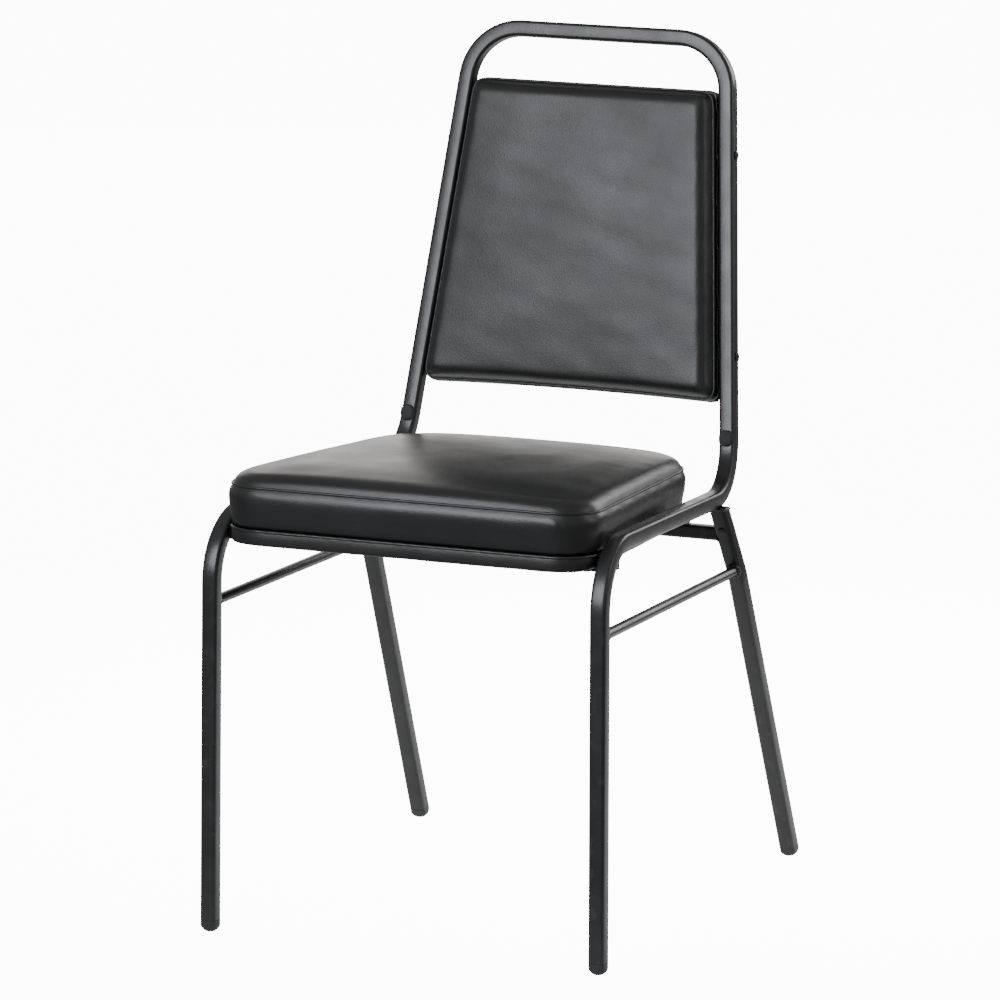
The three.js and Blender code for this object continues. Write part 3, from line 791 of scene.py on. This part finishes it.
# Each cord: name, outline, growth, height, radius, pad or None, how far out it sits as a
# share of its radius, place, material, replaced nodes.
WELTS = [
    ("seat_piping_upper", SEAT_SPEC, -0.2, SEAT_SEAM, 1.5 * MM, seat_cushion, 0.25,
     seat_place, SEAT_VINYL, ("seat_welt_upper",)),
    ("seat_piping_lower", SEAT_SPEC, -1.5, SEAT_LOWER_SEAM - 0.4, 1.7 * MM, None, 0.3,
     seat_place, SEAT_VINYL, ("seat_welt_lower",)),
    ("back_piping", BACK_SPEC, -3.8, BACK_SEAM, 1.3 * MM, back_cushion, 0.35,
     back_place, BACK_VINYL, ("back_welt",)),
]
for name, spec, grow, height, radius, pad, sink, place, finish, nodes in WELTS:
    cord = piping(name, spec, grow, height, radius, pad, sink)
    settle(cord, place)
    register(cord, finish, nodes)

settle(seat_cushion, seat_place)
register(seat_cushion, SEAT_VINYL, ("seat_cover", "seat_foam"))

settle(back_cushion, back_place)
register(back_cushion, BACK_VINYL, ("back_cover", "back_foam"))

band = make_band()
settle(band, seat_place)
register(band, SEAT_VINYL, ("seat_board",))

rear_panel = make_rear_panel()
settle(rear_panel, back_place)
register(rear_panel, BACK_VINYL, ("back_rear_cover", "back_board"))

dust_cover, dust_area = make_dust_cover()
settle(dust_cover, seat_place)
register(dust_cover, FLEECE, ("seat_dust_cover",))

staples = make_staples()
settle(staples, seat_place)
register(staples, ZINC)

# ------------------------------------------------------------ welds and screws
UPRIGHT_SPLAY = 0.0935
BACK_HEAD_TALL, SEAT_HEAD_TALL = 1.3, 2.4
AXIS_X, AXIS_Y, AXIS_Z = 0, 1, 2
seat_down = seat_place.to_3x3() @ Vector((0, 0, -1))
for side, sign in (("right", 1), ("left", -1)):
    # Each bead: name, tube, axis and end of the tube, radius, depth of the tube's end.
    beads = [
        ("weld_leg_top", f"rear_leg_{side}", AXIS_Z, 1, 1.5 * MM, 2.2 * MM),
        ("weld_stretcher_front", f"side_stretcher_{side}", AXIS_Y, -1, 2.6 * MM, 1.2 * MM),
        ("weld_stretcher_rear", f"side_stretcher_{side}", AXIS_Y, 1, 2.6 * MM, 4 * MM),
        ("weld_cross_bar", "rear_cross_bar", AXIS_X, sign, 1.4 * MM, 3 * MM),
    ]
    for weld_name, node_name, axis, end, radius, depth in beads:
        weld(f"{weld_name}_{side}", node_name, axis, end, radius, depth)
    upright_face = (Vector((sign, 0, 0)) + back_up * UPRIGHT_SPLAY).normalized()
    for level in ("lower", "upper"):
        screw_head(f"back_screw_head_{level}_{side}", f"back_screw_{level}_{side}",
                   upright_face, BACK_HEAD_TALL)
    for level in ("front", "rear"):
        screw_head(f"seat_screw_head_{level}_{side}", f"seat_screw_{level}_{side}",
                   seat_down, SEAT_HEAD_TALL)

# ------------------------------------------------------------ floor, light, camera
FLOOR_HALF = 15.0
floor_corners = [(x * FLOOR_HALF, y * FLOOR_HALF, 0) for x, y in ((-1, -1), (1, -1), (1, 1), (-1, 1))]
floor = new_object("floor", floor_corners, [(0, 1, 2, 3)])
floor.data.materials.append(backdrop())

world = bpy.data.worlds.new("studio")
world.use_nodes = True
sky = world.node_tree
seen = sky.nodes.new("ShaderNodeLightPath").outputs["Is Camera Ray"]
glow = sky.nodes.new("ShaderNodeMath")
glow.operation = "MULTIPLY_ADD"
sky.links.new(seen, glow.inputs[0])
glow.inputs[1].default_value = FLOOR_GLOW
glow.inputs[2].default_value = WORLD_LIGHT
sky.nodes["Background"].inputs["Color"].default_value = WHITE
sky.links.new(glow.outputs[0], sky.nodes["Background"].inputs["Strength"])
bpy.context.scene.world = world


COOL, NEUTRAL, WARM = (0.92, 0.96, 1.0), (1.0, 1.0, 1.0), (1.0, 0.97, 0.93)


def softbox(name, place, target, width, height, radiance, colour):
    lamp = bpy.data.lights.new(name, "AREA")
    lamp.shape = "RECTANGLE"
    lamp.size, lamp.size_y = width, height
    lamp.energy = radiance * math.pi * width * height
    lamp.color = colour
    obj = bpy.data.objects.new(name, lamp)
    bpy.context.scene.collection.objects.link(obj)
    obj.location = place
    obj.visible_camera = False
    obj.rotation_euler = (Vector(target) - Vector(place)).to_track_quat("-Z", "Y").to_euler()


# Each light: name, place, target, width, height, radiance, colour.
LIGHTS = [
    ("key", (-0.55, -2.5, 1.66), (0, 0.2, 0.7), 1.6, 1.5, 9.6, COOL),
    ("side", (2.6, 0.6, 1.6), (0, 0, 0.5), 1.2, 1.6, 1.8, NEUTRAL),
    ("back", (1.4, 3.4, 1.7), (0, 0.2, 0.5), 1.8, 1.6, 4.0, NEUTRAL),
    ("rear", (-2.6, 4.6, 1.2), (0, 0, 0.6), 3.6, 2.2, 2.0, WARM),
]
for light in LIGHTS:
    softbox(*light)

CAMERA_PLACE = (2.940, -6.814, 1.929)
CAMERA_PITCH = math.radians(90 - 11.51)
CAMERA_TURN = math.radians(23.385)
CAMERA_LENS_MM, CAMERA_SENSOR_MM = 263.65, 36
camera = bpy.data.cameras.new("camera")
camera.lens = CAMERA_LENS_MM
camera.sensor_width = CAMERA_SENSOR_MM
camera_object = bpy.data.objects.new("camera", camera)
camera_object.location = CAMERA_PLACE
camera_object.rotation_euler = (CAMERA_PITCH, 0, CAMERA_TURN)
bpy.context.scene.collection.objects.link(camera_object)
bpy.context.scene.camera = camera_object
